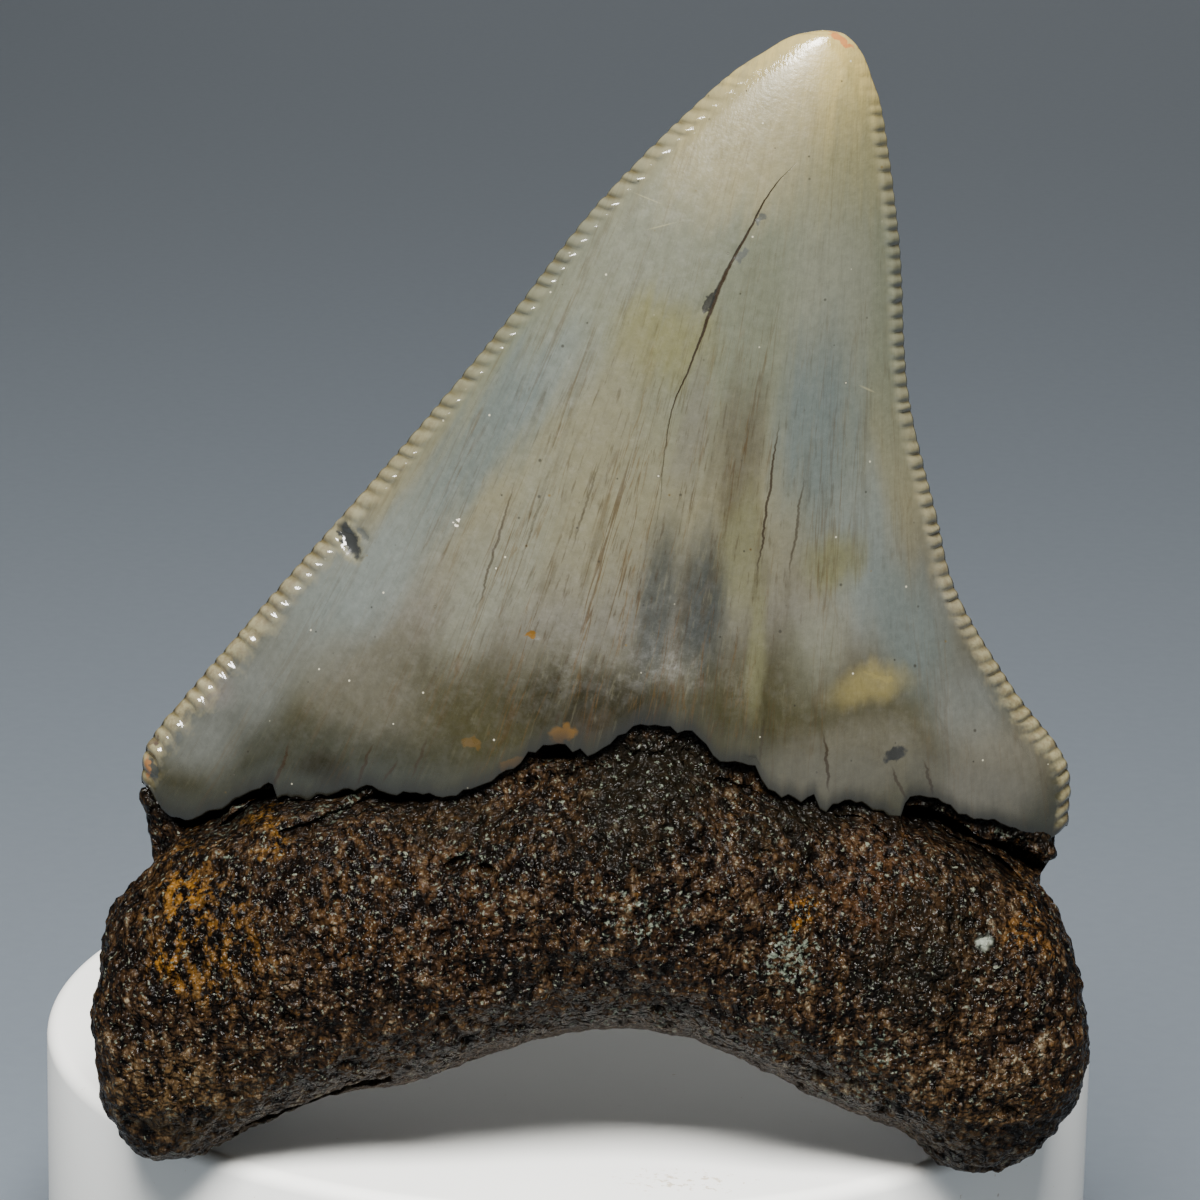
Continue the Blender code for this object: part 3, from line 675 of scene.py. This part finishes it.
    # the cracks
    wanderWay = add("Mapping", {0: fanPlace, 3: (0.1, 0, 1)})
    wander = add("TexNoise", {0: wanderWay, "Scale": 1 / size["wander"], "Detail": 3.0, "Roughness": 0.65})
    wander = add("MapRange", {0: wander, 3: -0.22, 4: 0.22})
    fanWander = add("Math", {0: fan, 1: wander}, operation="ADD")
    fanFlat = add("CombineXYZ", {0: fanWander, 2: z})
    cracks = 0.0
    for across, middleZ, halfLength, slant, strength in look["cracks"]:
        spot = (across, middleZ, look["crackHalfWidth"], halfLength, slant)
        mask = patch(add, fanFlat, spot, 1.05, 0.5, strength)
        cracks = add("Math", {0: cracks, 1: mask}, operation="MAXIMUM")
    lowZ, highZ = look["longCrack"][0][0], look["longCrack"][-1][0]
    lowX, highX = look["crackBand"]
    t = add("MapRange", {0: z, 1: lowZ, 2: highZ})
    curve = add("FloatCurve", {1: t})
    widthHere = add("FloatCurve", {1: t})
    path = [((atZ - lowZ) / (highZ - lowZ), (atX - lowX) / (highX - lowX)) for atZ, atX in look["longCrack"]]
    for output, spots in ((curve, path), (widthHere, look["crackOpen"])):
        points = output.node.mapping.curves[0].points
        points[0].location, points[1].location = spots[:2]
        for spot in spots[2:]:
            points.new(*spot)
        output.node.mapping.update()
    crackX = add("MapRange", {0: curve, 3: lowX, 4: highX})
    smallWander = add("MapRange", {0: wander, 1: -0.22, 2: 0.22, 3: -0.1, 4: 0.1})
    off = add("Math", {0: x, 1: crackX}, operation="SUBTRACT")
    off = add("Math", {0: off, 1: smallWander}, operation="ADD")
    off = add("Math", {0: off}, operation="ABSOLUTE")
    wide = add("Math", {0: widthHere, 1: look["longCrackWidth"]}, operation="MULTIPLY")
    longMask = add("MapRange", {0: off, 1: wide, 2: 0.0})
    longMask = add("Math", {0: longMask, 1: 2.0}, operation="MULTIPLY", use_clamp=True)
    ends = add("MapRange", {0: z, 1: lowZ, 2: lowZ + 9})
    upper = add("MapRange", {0: z, 1: highZ, 2: highZ - 1.0})
    longMask = add("Math", {0: longMask, 1: ends}, operation="MULTIPLY")
    longMask = add("Math", {0: longMask, 1: upper}, operation="MULTIPLY")
    cracks = add("Math", {0: cracks, 1: longMask}, operation="MAXIMUM")
    cracks = add("Math", {0: cracks, 1: frontFace}, operation="MULTIPLY")
    colour = add("Mix", {0: cracks, 6: colour, 7: linearColour("1f170c")}, **blend)

    # the serrations are nearly bare of stain, cream low down, with olive in the grooves that is partly stain
    # and partly painted shade
    rimNoise = add("TexNoise", {0: place, "Scale": 1 / size["rimPatch"], "Detail": 3.0, "Roughness": 0.7})
    rimEdge = add("MapRange", {0: rimNoise, 1: 0.3, 2: 0.7, 3: 0.5, 4: 1.4})
    lowDown = add("MapRange", {0: z, 1: 48.0, 2: 25.0, 3: 0.12, 4: 0.65})
    rimMask = add("MapRange", {0: rim, 1: rimEdge, 2: 0.1, 4: lowDown}, **soft)
    patchy = add("MapRange", {0: mottle, 1: 0.42, 2: 0.6})
    rimColour = add("Mix", {0: patchy, 6: linearColour("827c5f"), 7: linearColour("6b6046")}, **blend)
    colour = add("Mix", {0: rimMask, 6: colour, 7: rimColour}, **blend)
    tan = add("MapRange", {0: groove, 1: 0.15, 2: 0.8, 4: 0.75})
    colour = add("Mix", {0: tan, 6: colour, 7: linearColour("3b331b")}, **blend)

    # small stains, chips and bruises
    raggedX = add("TexNoise", {0: place, "Scale": 1 / size["raggedness"], "Detail": 2.0})
    elsewhere = add("Mapping", {0: place, 1: (4, 9, 6)})
    raggedZ = add("TexNoise", {0: elsewhere, "Scale": 1 / size["raggedness"], "Detail": 2.0})
    raggedX, raggedZ = [add("MapRange", {0: side, 3: -0.35, 4: 0.35}) for side in (raggedX, raggedZ)]
    ragged = add("CombineXYZ", {0: raggedX, 2: raggedZ})
    ragged = add("VectorMath", {0: place, 1: ragged}, operation="ADD")
    for *spot, turn, code, strength in look["marks"]:
        mask = patch(add, ragged, (*spot, -turn), 1.15, 0.75, strength)
        mask = add("Math", {0: mask, 1: frontFace}, operation="MULTIPLY")
        colour = add("Mix", {0: mask, 6: colour, 7: linearColour(code)}, **blend)

    scratches = 0.0
    for *spot, turn in look["scratches"]:
        mask = patch(add, place, (*spot, -turn), 1.4, 0.4, look["scratched"])
        scratches = add("Math", {0: scratches, 1: mask}, operation="MAXIMUM")
    scratches = add("Math", {0: scratches, 1: frontFace}, operation="MULTIPLY")

    # painted shade: dark along the enamel line where the face rolls under, and black under it in the gap
    # beneath the lip
    lineShadeMask = add("MapRange", {0: above, 1: 1.1, 2: 0.0, 4: 0.7}, **soft)
    under = add("MapRange", {0: above, 1: 0.02, 2: -0.15, 4: 0.9})
    for mask, code in ((scratches, "958f6c"), (lineShadeMask, "100f0b"), (under, "0c0a08")):
        colour = add("Mix", {0: mask, 6: colour, 7: linearColour(code)}, **blend)
    link(colour, shader.inputs["Base Color"])

    # gloss, dulled by fine wear, and relief too fine for the mesh
    wear = add("TexNoise", {0: place, "Scale": 1 / size["wear"], "Detail": 4.0, "Roughness": 0.7})
    rough = add("MapRange", {0: wear, 1: 0.35, 2: 0.7, 3: 0.2, 4: 0.38})
    scratched = add("MapRange", {0: z, 1: 53.0, 2: 59.0, 4: 0.16})
    rough = add("Math", {0: rough, 1: scratched}, operation="ADD")
    polished = add("MapRange", {0: rim, 1: 1.2, 2: 0.9, 3: 1.0, 4: 0.36})
    rough = add("Math", {0: rough, 1: polished}, operation="MULTIPLY")
    link(rough, shader.inputs["Roughness"])
    shader.inputs["IOR"].default_value = 1.6
    relief = add("Math", {0: fine, 1: 0.25}, operation="MULTIPLY")
    grainy = add("TexNoise", {0: place, "Scale": 1 / size["grain"], "Detail": 3.0})
    worn = add("MapRange", {0: z, 1: 50.0, 2: 58.0, 3: 0.15, 4: 0.45})
    relief = add("Math", {0: grainy, 1: worn, 2: relief}, operation="MULTIPLY_ADD")
    relief = add("Math", {0: longMask, 1: -1.0, 2: relief}, operation="MULTIPLY_ADD")
    relief = add("Math", {0: groove, 1: -1.0, 2: relief}, operation="MULTIPLY_ADD")
    bump = add("Bump", {"Strength": 0.6, "Distance": 0.08 * mm, "Height": relief})
    link(bump, shader.inputs["Normal"])
    return material


rootLook = {
    # width in millimetres of one spot of each pattern; grains are drawn twice as coarse as the real ones
    "sizes": {"drift": 2.0, "jitter": 0.4545, "grain": 0.3333, "tone": 0.6667, "broad": 3.5714,
              "rust": 0.6667, "fleck": 0.2778, "bumps": 0.4167},
    # from the darkest grain to the palest
    "tones": [(0.37, "060403"), (0.43, "160e08"), (0.49, "20150b"), (0.54, "2c1f12"), (0.61, "3d3021"),
              (0.7, "686150")],
    # stained areas: x, z, half width, half height, lean, colour, strength; the two paler ones low on the
    # lobes are painted light, where the lamp reaches less
    "stains": [
        (-18.6, 13.6, 3.4, 3.8, 0, "4d330b", 0.75), (-20.2, 15.2, 1.4, 1.8, 0, "6a4712", 0.6),
        (-20.9, 11.8, 1.0, 0.9, 0, "6a4712", 0.65), (-15.7, 19.0, 0.8, 1.0, 0, "624311", 0.7),
        (-11.0, 15.0, 2.5, 3.5, 0, "321f0b", 0.5), (12.2, 16.0, 0.7, 1.5, 10, "6b470f", 0.85),
        (24.0, 14.4, 1.1, 1.9, 0, "57390f", 0.45), (-6.0, 15.0, 4.0, 4.0, 0, "2c1c0f", 0.6),
        (16.5, 16.5, 3.0, 3.0, 0, "311a0a", 0.6), (-20.5, 4.6, 4.5, 3.4, 0, "463620", 0.55),
        (20.5, 4.8, 4.5, 3.4, 0, "3c2d1b", 0.5),
    ],
    # areas where even the grains are dark: darker dentine, and painted shade cast by the enamel's overhang
    "dark": [(4.4, 22.6, 5.0, 2.8, 0, 0.9), (2.4, 20.0, 3.0, 2.0, 0, 0.6), (13.0, 20.4, 5.0, 1.5, -14, 0.8),
             (18.2, 14.1, 3.6, 3.8, 0, 0.7), (-6.5, 20.0, 5.0, 1.4, 6, 0.55)],
    # dusty areas, where grey-green grains gather
    "dusty": [
        (3.4, 22.0, 2.6, 1.3, 0, 0.15), (11.5, 13.6, 1.6, 2.0, 15, 1.0), (16.5, 8.4, 2.0, 1.0, -45, 0.8),
        (10.9, 9.5, 1.4, 0.9, 0, 0.8), (3.9, 15.6, 2.6, 1.4, 0, 0.7), (-17.6, 19.0, 2.2, 0.7, -25, 0.8),
        (22.6, 18.6, 2.4, 0.8, 25, 0.9), (-12.6, 20.2, 2.4, 0.4, -8, 0.8), (3.2, 9.4, 4.0, 1.2, 0, 0.5),
        (-4.6, 17.6, 3.0, 2.0, 0, 0.3), (15.0, 6.0, 3.0, 2.0, 0, 0.5),
    ],
    "chalk": (21.7, 14.1, 0.42, 0.34, 0),       # one chalky spot
}


def rootMaterial():
    # mineralised dentine, rough and granular like coarse sandstone, its grains catching the light
    material, add, link, shader = startMaterial("mineralisedRoot")
    look, size = rootLook, rootLook["sizes"]
    place = add("TexCoord", out=3)
    place = add("Mapping", {0: place, 1: (0, 0, -plinthTop), 3: (1000, 1000, 1000)})
    below, crevice, height, rim, pit = [add("Attribute", out=2, attribute_name=name)
                                        for name in ("below", "crevice", "relief", "rim", "pit")]
    warp = add("TexNoise", {0: place, "Scale": 1 / size["drift"], "Detail": 3.0, "Roughness": 0.7}, out=1)
    warp = add("VectorMath", {0: warp, 1: (0.5, 0.5, 0.5)}, operation="SUBTRACT")
    warp = add("VectorMath", {0: warp, 1: (6.0, 0.0, 6.0)}, operation="MULTIPLY")
    moved = add("VectorMath", {0: place, 1: warp}, operation="ADD")

    # each grain has its own tone and tilt
    jitter = add("TexNoise", {0: place, "Scale": 1 / size["jitter"], "Detail": 1.0}, out=1)
    jitter = add("VectorMath", {0: jitter, 1: (0.5, 0.5, 0.5)}, operation="SUBTRACT")
    jitter = add("VectorMath", {0: jitter, 3: 0.7}, operation="SCALE")
    grainPlace = add("VectorMath", {0: place, 1: jitter}, operation="ADD")
    cell = add("TexVoronoi", {0: grainPlace, "Scale": 1 / size["grain"]}).node
    within = add("VectorMath", {0: grainPlace, 1: cell.outputs[2]}, operation="SUBTRACT")
    tiltWay = add("VectorMath", {0: cell.outputs[1], 1: (0.5, 0.5, 0.5)}, operation="SUBTRACT")
    tilt = add("VectorMath", {0: within, 1: tiltWay}, out=1, operation="DOT_PRODUCT")
    own = add("SeparateColor", {0: cell.outputs[1]}).node
    stretched = add("Mapping", {0: place, 3: (1.3, 1.2, 0.6)})
    tone = add("TexNoise", {0: stretched, "Scale": 1 / size["tone"], "Detail": 4.0, "Roughness": 0.7})
    tone = add("Math", {0: height, 1: 0.02, 2: tone}, operation="MULTIPLY_ADD")
    ownTone = add("Math", {0: own.outputs[0], 1: 0.5}, operation="SUBTRACT")
    tone = add("Math", {0: ownTone, 1: 0.07, 2: tone}, operation="MULTIPLY_ADD")
    tone = add("Math", {0: cell.outputs[0], 1: -0.1, 2: tone}, operation="MULTIPLY_ADD")
    broad = add("TexNoise", {0: place, "Scale": 1 / size["broad"], "Detail": 4.0, "Roughness": 0.65})
    broad = add("MapRange", {0: broad, 1: 0.3, 2: 0.7, 3: -0.07, 4: 0.06})
    tone = add("Math", {0: tone, 1: broad}, operation="ADD")
    z = add("SeparateXYZ", {0: place}, out=2)
    # painted light: the lobes' feet are lifted paler where the lamp reaches them less
    foot = add("MapRange", {0: z, 1: 12.0, 2: 4.0, 4: 0.06})           # the lobes' feet are paler
    tone = add("Math", {0: tone, 1: foot}, operation="ADD")
    tones = [(spot, linearColour(code)) for spot, code in look["tones"]]
    colour = fillRamp(add("ValToRGB", {0: tone}).node, tones)
    lit = add("MapRange", {0: tone, 1: 0.42, 2: 0.55})
    for *spot, code, strength in look["stains"]:
        mask = patch(add, moved, spot, 1.3, 0.2, strength)
        mask = add("Math", {0: mask, 1: lit}, operation="MULTIPLY")
        colour = add("Mix", {0: mask, 6: colour, 7: linearColour(code)}, **blend)

    # flecks: rust; tan, partly painted glints; and, where dust has gathered, pale grey-green
    rust = add("Mapping", {0: place, 1: (9, 4, 2)})
    rust = add("TexNoise", {0: rust, "Scale": 1 / size["rust"], "Detail": 4.0, "Roughness": 0.7})
    rust = add("MapRange", {0: rust, 1: 0.57, 2: 0.66, 4: 0.55})
    rust = add("Math", {0: rust, 1: lit}, operation="MULTIPLY")
    colour = add("Mix", {0: rust, 6: colour, 7: linearColour("402a0c")}, **blend)
    fleck = add("Mapping", {0: place, 1: (2, 7, 5)})
    fleck = add("TexNoise", {0: fleck, "Scale": 1 / size["fleck"], "Detail": 3.0, "Roughness": 0.6})
    pale = add("MapRange", {0: fleck, 1: 0.62, 2: 0.7, 4: 0.7})
    colour = add("Mix", {0: pale, 6: colour, 7: linearColour("6a6758")}, **blend)
    # dark areas: darker dentine with painted shade under the enamel's overhang
    for *spot, strength in look["dark"]:
        mask = patch(add, moved, spot, 1.4, 0.3, strength)
        colour = add("Mix", {0: mask, 6: colour, 7: linearColour("0c0a06")}, **blend)
    dust = 0.0
    for *spot, strength in look["dusty"]:
        mask = patch(add, moved, spot, 1.4, 0.3, strength)
        dust = add("Math", {0: dust, 1: mask}, operation="MAXIMUM")
    grey = add("Math", {0: dust, 1: 0.13, 2: fleck}, operation="MULTIPLY_ADD")
    grey = add("MapRange", {0: grey, 1: 0.62, 2: 0.72, 4: 0.85})
    chalk = patch(add, grainPlace, look["chalk"], 1.3, 0.4, 0.75)

    # paler and smoother along the arch, partly wear and partly painted light bounced up from the plinth;
    # painted shade, near black, in pits, hollows and under the enamel
    worn = add("Math", {0: rim, 1: 0.55}, operation="MULTIPLY")
    lip = add("MapRange", {0: below, 1: 1.0, 2: 0.15, 4: 0.85}, **soft)
    dark = add("Math", {0: crevice, 1: lip}, operation="MAXIMUM")
    pit = add("Math", {0: pit, 1: 0.8}, operation="MULTIPLY")
    dark = add("Math", {0: dark, 1: pit}, operation="MAXIMUM")
    for mask, code in ((grey, "51584d"), (chalk, "757b70"), (worn, "3b3027"), (dark, "050403")):
        colour = add("Mix", {0: mask, 6: colour, 7: linearColour(code)}, **blend)
    link(colour, shader.inputs["Base Color"])

    rough = add("MapRange", {0: own.outputs[1], 3: 0.14, 4: 0.5})
    link(rough, shader.inputs["Roughness"])
    shader.inputs["Specular IOR Level"].default_value = 0.07
    relief = add("Math", {0: cell.outputs[0], 1: -0.45}, operation="MULTIPLY")
    relief = add("Math", {0: tilt, 1: 1.8, 2: relief}, operation="MULTIPLY_ADD")
    bumps = add("TexNoise", {0: place, "Scale": 1 / size["bumps"], "Detail": 1.0})
    relief = add("Math", {0: bumps, 1: 1.2, 2: relief}, operation="MULTIPLY_ADD")
    bump = add("Bump", {"Strength": 1.0, "Distance": 0.3 * mm, "Height": relief})
    link(bump, shader.inputs["Normal"])
    return material


plasticLook = {
    "white": "eaebe8", "whitest": "f2f2ef", "speck": "9a8468", "crumb": "b09c78",
    # width in millimetres of one spot of each pattern
    "sizes": {"cloud": 8.3333, "speck": 1.8182, "crumb": 0.5263, "satin": 0.7143},
    "spill": ((6.2, -25.4, 20), (5.0, 2.6, 2.0)),        # middle and half sizes of the patch of crumbs
}


def plasticMaterial():
    # moulded white polypropylene: a soft satin skin, faintly uneven, with a little dust on it
    material, add, link, shader = startMaterial("whiteMouldedPlastic")
    look, size = plasticLook, plasticLook["sizes"]
    place = add("TexCoord", out=3)
    place = add("Mapping", {0: place, 3: (1000, 1000, 1000)})
    cloud = add("TexNoise", {0: place, "Scale": 1 / size["cloud"], "Detail": 3.0})
    white, whitest = linearColour(look["white"]), linearColour(look["whitest"])
    colour = add("Mix", {0: cloud, 6: white, 7: whitest}, **blend)
    cell = add("TexVoronoi", {0: place, "Scale": 1 / size["speck"]}).node
    chosen = add("SeparateColor", {0: cell.outputs[1]})
    chosen = add("Math", {0: chosen, 1: 0.1}, operation="LESS_THAN")
    dot = add("MapRange", {0: cell.outputs[0], 1: 0.07, 2: 0.03, 4: 0.6})
    dot = add("Math", {0: dot, 1: chosen}, operation="MULTIPLY")
    colour = add("Mix", {0: dot, 6: colour, 7: linearColour(look["speck"])}, **blend)
    # crumbs of brown dirt in front of the tooth
    middle, halves = look["spill"]
    spill = add("Mapping", {0: place, 1: middle, 3: halves}, vector_type="TEXTURE")
    spill = add("VectorMath", {0: spill}, out=1, operation="LENGTH")
    spill = add("MapRange", {0: spill, 1: 1.3, 2: 0.2, 4: 0.16}, **soft)
    crumbs = add("TexNoise", {0: place, "Scale": 1 / size["crumb"], "Detail": 3.0, "Roughness": 0.7})
    crumbs = add("Math", {0: crumbs, 1: spill}, operation="ADD")
    crumbs = add("MapRange", {0: crumbs, 1: 0.7, 2: 0.78, 4: 0.7})
    colour = add("Mix", {0: crumbs, 6: colour, 7: linearColour(look["crumb"])}, **blend)
    link(colour, shader.inputs["Base Color"])
    satin = add("TexNoise", {0: place, "Scale": 1 / size["satin"], "Detail": 2.0})
    rough = add("MapRange", {0: satin, 3: 0.36, 4: 0.5})
    link(rough, shader.inputs["Roughness"])
    shader.inputs["IOR"].default_value = 1.49
    bump = add("Bump", {"Strength": 0.15, "Distance": 0.05 * mm, "Height": satin})
    link(bump, shader.inputs["Normal"])
    return material


view = {"distance": 300.0, "pitch": 15.6, "roll": 1.1, "slideX": -1.32, "slideUp": -23.88, "lens": 155.8}


def makeCamera():
    pitch, roll = math.radians(view["pitch"]), math.radians(view["roll"])
    side = Vector((1, 0, 0))
    forward = Vector((0, math.cos(pitch), -math.sin(pitch)))
    up = side.cross(forward)
    right = side * math.cos(roll) + up * math.sin(roll)
    top = up * math.cos(roll) - side * math.sin(roll)
    place = -(forward * view["distance"] + side * view["slideX"] + up * view["slideUp"])
    place.z += plinthTop
    camera = bpy.data.cameras.new("camera")
    camera.lens = view["lens"]
    camera.clip_start = 0.01
    holder = bpy.data.objects.new("camera", camera)
    turn = Matrix((right, top, -forward)).transposed().to_4x4()
    holder.matrix_world = Matrix.Translation(place * mm) @ turn
    bpy.context.scene.collection.objects.link(holder)
    bpy.context.scene.camera = holder


def addLight(name, size, power, place, target, colour, spread):
    lamp = bpy.data.lights.new(name, "AREA")
    lamp.shape = "RECTANGLE"
    lamp.size, lamp.size_y = size
    lamp.energy = power
    lamp.color = colour
    lamp.spread = math.radians(spread)
    holder = bpy.data.objects.new(name, lamp)
    holder.location = place
    holder.rotation_euler = (Vector(target) - Vector(place)).to_track_quat("-Z", "Y").to_euler()
    bpy.context.scene.collection.objects.link(holder)


studio = {
    # a lamp: name, width and height, watts, place, target, colour, spread in degrees (all in metres)
    "lamps": [
        ("softboxFront", (0.18, 0.13), 5.6, (-0.02, -0.22, 0.31), (0, -0.02, 0.045), (1, 0.985, 0.95), 180),
        ("washBehind", (0.5, 0.3), 0.32, (0, 0.75, 0.45), (0, 0.65, 0), (1.0, 0.98, 0.96), 90),
        ("fillBehind", (0.4, 0.2), 0.09, (0.1, 0.9, 0.1), (0, -0.02, 0.05), (0.95, 0.98, 1.0), 50),
    ],
    "paper": "59616a", "palerPaper": "5e666f", "fibre": 1.1111,       # fibre in millimetres
    "room": "cfcdc6", "roomStrength": 0.27,
    # the sweep of paper, in metres: half its width, where it starts, where it bends, how round, how tall
    "halfWidth": 2.2, "front": -1.4, "bend": 1.7, "bendRadius": 0.5, "top": 2.2,
}


def makeStudio():
    # a seamless paper sweep: pale floor that curves up into the wall behind
    bend, radius, half = studio["bend"], studio["bendRadius"], studio["halfWidth"]
    outline = [(studio["front"], 0.0), (bend, 0.0)]
    for step in range(1, 13):
        angle = math.radians(7.5 * step)
        outline.append((bend + radius * math.sin(angle), radius * (1 - math.cos(angle))))
    outline.append((bend + radius, studio["top"]))
    shape = bmesh.new()
    verts = [shape.verts.new((-half, y, z)) for y, z in outline]
    edges = [shape.edges.new(pair) for pair in zip(verts, verts[1:])]
    swept = bmesh.ops.extrude_edge_only(shape, edges=edges)["geom"]
    swept = [part for part in swept if isinstance(part, bmesh.types.BMVert)]
    bmesh.ops.translate(shape, verts=swept, vec=(2 * half, 0, 0))
    sweep = finishShape(shape, "paperSweep")
    material, add, link, shader = startMaterial("backgroundPaper")
    place = add("TexCoord", out=3)
    fibre = add("TexNoise", {0: place, "Scale": 1 / (studio["fibre"] * mm), "Detail": 2.0})
    paper, paler = linearColour(studio["paper"]), linearColour(studio["palerPaper"])
    colour = add("Mix", {0: fibre, 6: paper, 7: paler}, **blend)
    link(colour, shader.inputs["Base Color"])
    shader.inputs["Roughness"].default_value = 0.9
    sweep.data.materials.append(material)

    for lamp in studio["lamps"]:
        addLight(*lamp)
    world = bpy.data.worlds.new("studioAir")
    world.use_nodes = True
    room = world.node_tree.nodes["Background"]
    room.inputs["Color"].default_value = linearColour(studio["room"])
    room.inputs["Strength"].default_value = studio["roomStrength"]
    bpy.context.scene.world = world


makeCamera()
makeStudio()
print("camera, floor and lights are set")

enamel = makeBlade()
enamel.data.materials.append(enamelMaterial())
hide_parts("tooth")
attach(enamel, "root")
print("blade:", len(enamel.data.polygons), "faces")

rootPiece = makeRoot()
rootPiece.data.materials.append(rootMaterial())
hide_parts("tooth")
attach(rootPiece, "root")
print("root:", len(rootPiece.data.polygons), "faces")

drum = makePlinth()
drum.data.materials.append(plasticMaterial())
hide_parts("plinth")
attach(drum, "root")
print("plinth:", len(drum.data.polygons), "faces")
